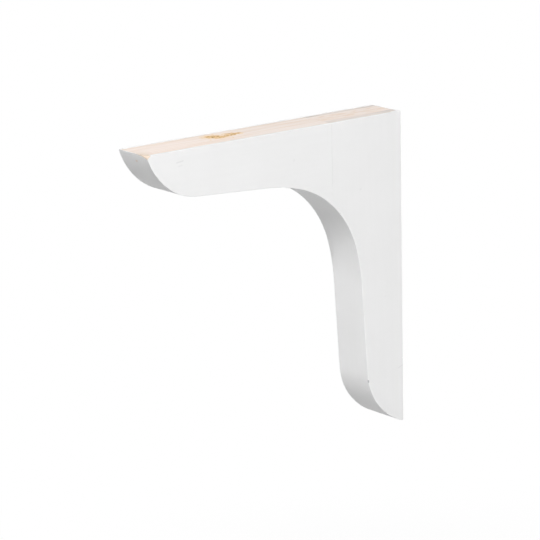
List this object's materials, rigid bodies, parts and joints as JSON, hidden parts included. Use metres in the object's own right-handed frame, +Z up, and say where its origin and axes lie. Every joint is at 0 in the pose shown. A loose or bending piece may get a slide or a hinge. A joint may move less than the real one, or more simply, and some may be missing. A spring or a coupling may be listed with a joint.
{
  "type": "wooden corbel bracket",
  "caption": "Painted wooden corbel bracket: an upright leg and a level arm joined in a curved crook, with rounded tips, bare wood along the top.",
  "frame": {"origin": "centre of the flat wall face, on the wall plane", "axes": "+Y into the wall, so the arm reaches out along -Y; +Z up; X across the thickness of the boards"},
  "size_m": [0.0286, 0.1968, 0.2032],
  "materials": {
    "painted_wood": "satin white paint over pine, with the top edge left as bare wood"
  },
  "bodies": {
    "root": {"leg": "painted_wood", "arm": "painted_wood"}
  },
  "joints": []
}
